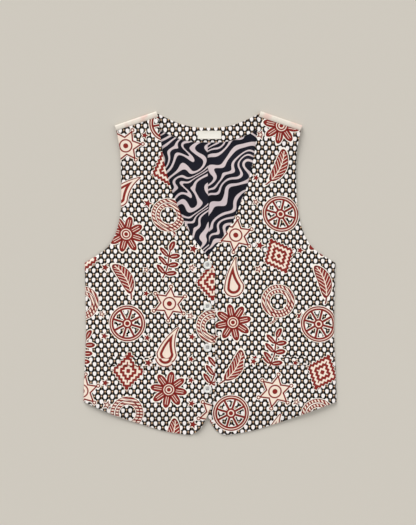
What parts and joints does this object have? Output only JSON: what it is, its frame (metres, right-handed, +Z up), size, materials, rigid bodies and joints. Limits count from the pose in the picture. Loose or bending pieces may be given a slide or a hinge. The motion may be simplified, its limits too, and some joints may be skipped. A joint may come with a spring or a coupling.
{
  "type": "buttoned western vest, laid flat on its back",
  "caption": "Sleeveless V-neck western vest with a buttoned, pointed front, welt pockets and a satin back, lying flat and closed.",
  "frame": {"origin": "on the surface that the vest lies on, under the middle of its outline", "axes": "+X to the side where the wearer's left front lies, +Y to the neck, +Z up from the surface"},
  "size_m": [0.4554, 0.5814, 0.0101],
  "materials": {
    "print_cloth": "matt plain weave with an all-over print",
    "back_satin": "soft ivory satin",
    "lining_satin": "smooth printed satin",
    "label_cloth": "fine woven tape",
    "button_pearl": "pearly gloss"
  },
  "bodies": {
    "root": {"back": "back_satin", "lining_left": "lining_satin", "lining_right": "lining_satin", "neck_facing": "print_cloth", "label": "label_cloth", "front_left": "print_cloth", "front_right": "print_cloth", "welt_left": "print_cloth", "welt_right": "print_cloth", "button_1": "button_pearl", "button_2": "button_pearl", "button_3": "button_pearl", "button_4": "button_pearl"}
  },
  "joints": []
}
